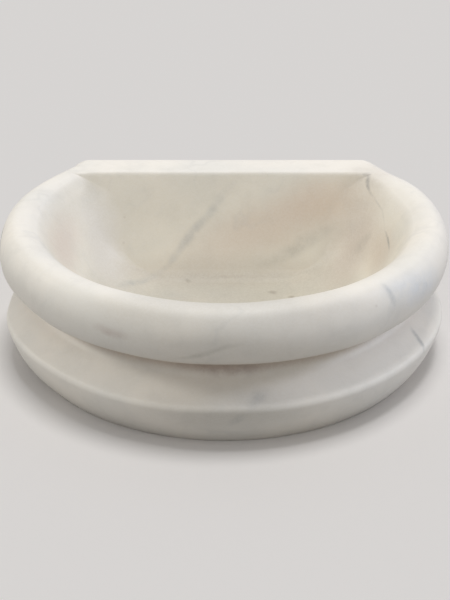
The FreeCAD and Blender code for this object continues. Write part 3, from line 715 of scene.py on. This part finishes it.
def make_brass():
    """Turned brass, not lacquered: straw gold, browner where it has tarnished, with fine turning rings."""
    material, tree, shader, place = new_material("turned_brass")
    tarnish = add(tree, "ShaderNodeTexNoise", {"Vector": place, "Scale": 1 / (9 * MM), "Detail": 5})
    tarnish = add(tree, "ShaderNodeMapRange", {"Value": tarnish, "From Min": 0.4, "From Max": 0.68})
    metal = add(tree, "ShaderNodeMix", {SHARE: tarnish, UNDER: paint("#D3B473"), OVER: paint("#93764A")},
                data_type="RGBA")
    rough = add(tree, "ShaderNodeMapRange", {"Value": tarnish, "To Min": 0.24, "To Max": 0.46})
    rings = add(tree, "ShaderNodeTexWave",
                {"Vector": place, "Scale": WAVE_REPEAT / (0.5 * MM), "Distortion": 0.4},
                wave_type="RINGS", rings_direction="Z")
    bump = add(tree, "ShaderNodeBump", {"Height": rings, "Strength": 0.2, "Distance": 0.02 * MM})
    feed(tree, shader, {"Base Color": metal, "Metallic": 1, "Roughness": rough, "Normal": bump})
    return material


def make_rubber():
    """Moulded rubber: near black and matt, with a grey bloom in patches and a fine moulded grain."""
    material, tree, shader, place = new_material("moulded_rubber")
    bloom = add(tree, "ShaderNodeTexNoise", {"Vector": place, "Scale": 1 / (6 * MM), "Detail": 4})
    bloom = add(tree, "ShaderNodeMapRange", {"Value": bloom, "From Min": 0.45, "From Max": 0.7})
    skin = add(tree, "ShaderNodeMix", {SHARE: bloom, UNDER: paint("#1D1D1E"), OVER: paint("#3B3B3A")},
               data_type="RGBA")
    rough = add(tree, "ShaderNodeMapRange", {"Value": bloom, "To Min": 0.62, "To Max": 0.84})
    grain = add(tree, "ShaderNodeTexNoise", {"Vector": place, "Scale": 1 / (0.5 * MM), "Detail": 2})
    bump = add(tree, "ShaderNodeBump", {"Height": grain, "Strength": 0.3, "Distance": 0.03 * MM})
    feed(tree, shader, {"Base Color": skin, "Roughness": rough, "Normal": bump})
    return material


def make_nylon():
    """Moulded nylon: milky, slightly yellow and waxy, with faint flow clouds."""
    material, tree, shader, place = new_material("moulded_nylon")
    flow = add(tree, "ShaderNodeTexNoise",
               {"Vector": place, "Scale": 1 / (5 * MM), "Detail": 3, "Distortion": 1})
    skin = add(tree, "ShaderNodeMix", {SHARE: flow, UNDER: paint("#E6E1D3"), OVER: paint("#D3CCB9")},
               data_type="RGBA")
    rough = add(tree, "ShaderNodeMapRange", {"Value": flow, "To Min": 0.38, "To Max": 0.55})
    bump = add(tree, "ShaderNodeBump", {"Height": flow, "Strength": 0.2, "Distance": 0.05 * MM})
    feed(tree, shader, {"Base Color": skin, "Roughness": rough, "Normal": bump})
    return material


def make_acetal():
    """Turned acetal: a clean opaque white, smooth to slippery, with faint turning rings."""
    material, tree, shader, place = new_material("turned_acetal")
    shade = add(tree, "ShaderNodeTexNoise", {"Vector": place, "Scale": 1 / (4 * MM), "Detail": 3})
    skin = add(tree, "ShaderNodeMix", {SHARE: shade, UNDER: paint("#F0EFEA"), OVER: paint("#E0DFD8")},
               data_type="RGBA")
    rough = add(tree, "ShaderNodeMapRange", {"Value": shade, "To Min": 0.26, "To Max": 0.42})
    rings = add(tree, "ShaderNodeTexWave",
                {"Vector": place, "Scale": WAVE_REPEAT / (0.4 * MM), "Distortion": 0.3},
                wave_type="RINGS", rings_direction="Z")
    bump = add(tree, "ShaderNodeBump", {"Height": rings, "Strength": 0.15, "Distance": 0.02 * MM})
    feed(tree, shader, {"Base Color": skin, "Roughness": rough, "Normal": bump})
    return material


def make_spring_steel():
    """Drawn spring wire: dull grey steel with straw-coloured heat tints and fine scuffs."""
    material, tree, shader, place = new_material("drawn_spring_steel")
    heat = add(tree, "ShaderNodeTexNoise", {"Vector": place, "Scale": 1 / (3 * MM), "Detail": 3})
    metal = add(tree, "ShaderNodeMix", {SHARE: heat, UNDER: paint("#8D9094"), OVER: paint("#A3967F")},
                data_type="RGBA")
    rough = add(tree, "ShaderNodeMapRange", {"Value": heat, "To Min": 0.24, "To Max": 0.44})
    scuffs = add(tree, "ShaderNodeTexNoise", {"Vector": place, "Scale": 1 / (0.4 * MM), "Detail": 2})
    bump = add(tree, "ShaderNodeBump", {"Height": scuffs, "Strength": 0.2, "Distance": 0.01 * MM})
    feed(tree, shader, {"Base Color": metal, "Metallic": 1, "Roughness": rough, "Normal": bump})
    return material


def dress_nodes(finishes):
    """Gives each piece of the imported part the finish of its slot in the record."""
    for part in frame["record"]["subparts"]:
        for slot in frame["nodes"][part["node"]].material_slots:
            slot.material = finishes[part["material_slot"]]


# Stage, light and camera

def seen_share(tree):
    """One where the eye sees a surface, straight or in a mirror, and nothing where light bounces off it."""
    ray = add(tree, "ShaderNodeLightPath", {})
    seen = add(tree, "ShaderNodeMath",
               {0: ray.outputs["Is Camera Ray"], 1: ray.outputs["Is Glossy Ray"]}, operation="MAXIMUM")
    through = ray.outputs["Is Transmission Ray"]
    return add(tree, "ShaderNodeMath", {0: seen, 1: through}, operation="MAXIMUM")


def make_stage():
    """A pale paper floor. It bounces less light than it shows, so that the underside stays in shade."""
    mesh = bpy.data.meshes.new("studio_floor")
    bm = bmesh.new()
    bmesh.ops.create_grid(bm, x_segments=1, y_segments=1, size=FLOOR_HALF_WIDTH)
    bm.to_mesh(mesh)
    bm.free()
    material, tree, shader, _ = new_material("studio_paper")
    seen = seen_share(tree)
    paper = add(tree, "ShaderNodeMix", {SHARE: seen, UNDER: paint("#BAB8B7"), OVER: paint("#FDFAF8")},
                data_type="RGBA")
    feed(tree, shader, {"Base Color": paper, "Roughness": 0.9, "Specular IOR Level": 0})
    mesh.materials.append(material)
    floor = bpy.data.objects.new("studio_floor", mesh)
    bpy.context.collection.objects.link(floor)


def add_lamp(lamp):
    """A lamp of the list, with light as even as the sun's."""
    data = bpy.data.lights.new(lamp.name, "SUN")
    data.angle = math.radians(lamp.spread)
    data.energy = lamp.level * math.pi
    data.color = paint(lamp.colour)[:3]
    placed = bpy.data.objects.new(lamp.name, data)
    placed.rotation_euler = (math.radians(90 - lamp.elevation), 0, math.radians(lamp.azimuth))
    bpy.context.collection.objects.link(placed)
    return placed


def light_scene(lit_pieces):
    """A softbox overhead, and lamps in front and at both sides that are screened off the floor."""
    world = bpy.data.worlds.new("studio")
    bpy.context.scene.world = world
    world.use_nodes = True
    tree = world.node_tree
    seen = seen_share(tree)
    colour = add(tree, "ShaderNodeMix", {SHARE: seen, UNDER: paint("#FFFFFF"), OVER: paint(ROOM_COLOUR)},
                 data_type="RGBA")
    level = add(tree, "ShaderNodeMapRange", {"Value": seen, "To Min": ROOM_LIGHT, "To Max": 1})
    feed(tree, tree.nodes["Background"], {"Color": colour, "Strength": level})
    add_lamp(OVERHEAD_LAMP)
    for lamp in SCREENED_LAMPS:
        add_lamp(lamp).light_linking.receiver_collection = lit_pieces


def make_camera():
    """At the photograph's angle, from in front and above."""
    data = bpy.data.cameras.new("camera")
    data.sensor_fit = "VERTICAL"
    data.sensor_height = SENSOR_HEIGHT
    data.lens = CAMERA_LENS
    camera = bpy.data.objects.new("camera", data)
    camera.location = CAMERA_PLACE
    camera.rotation_euler = (math.pi / 2 - CAMERA_PITCH, 0, 0)
    bpy.context.collection.objects.link(camera)
    bpy.context.scene.camera = camera


bpy.context.scene.view_settings.view_transform = "Standard"
make_camera()
make_stage()
finishes = {
    "marble": make_marble(),
    "chrome_plate": make_chrome(),
    "brass": make_brass(),
    "rubber": make_rubber(),
    "nylon": make_nylon(),
    "acetal": make_acetal(),
    "spring_steel": make_spring_steel(),
}
dress_nodes(finishes)
basin = make_basin(finishes["marble"])
lit_pieces = bpy.data.collections.new("lit_from_the_sides")
for piece in [basin, *frame["nodes"].values()]:
    lit_pieces.objects.link(piece)
light_scene(lit_pieces)
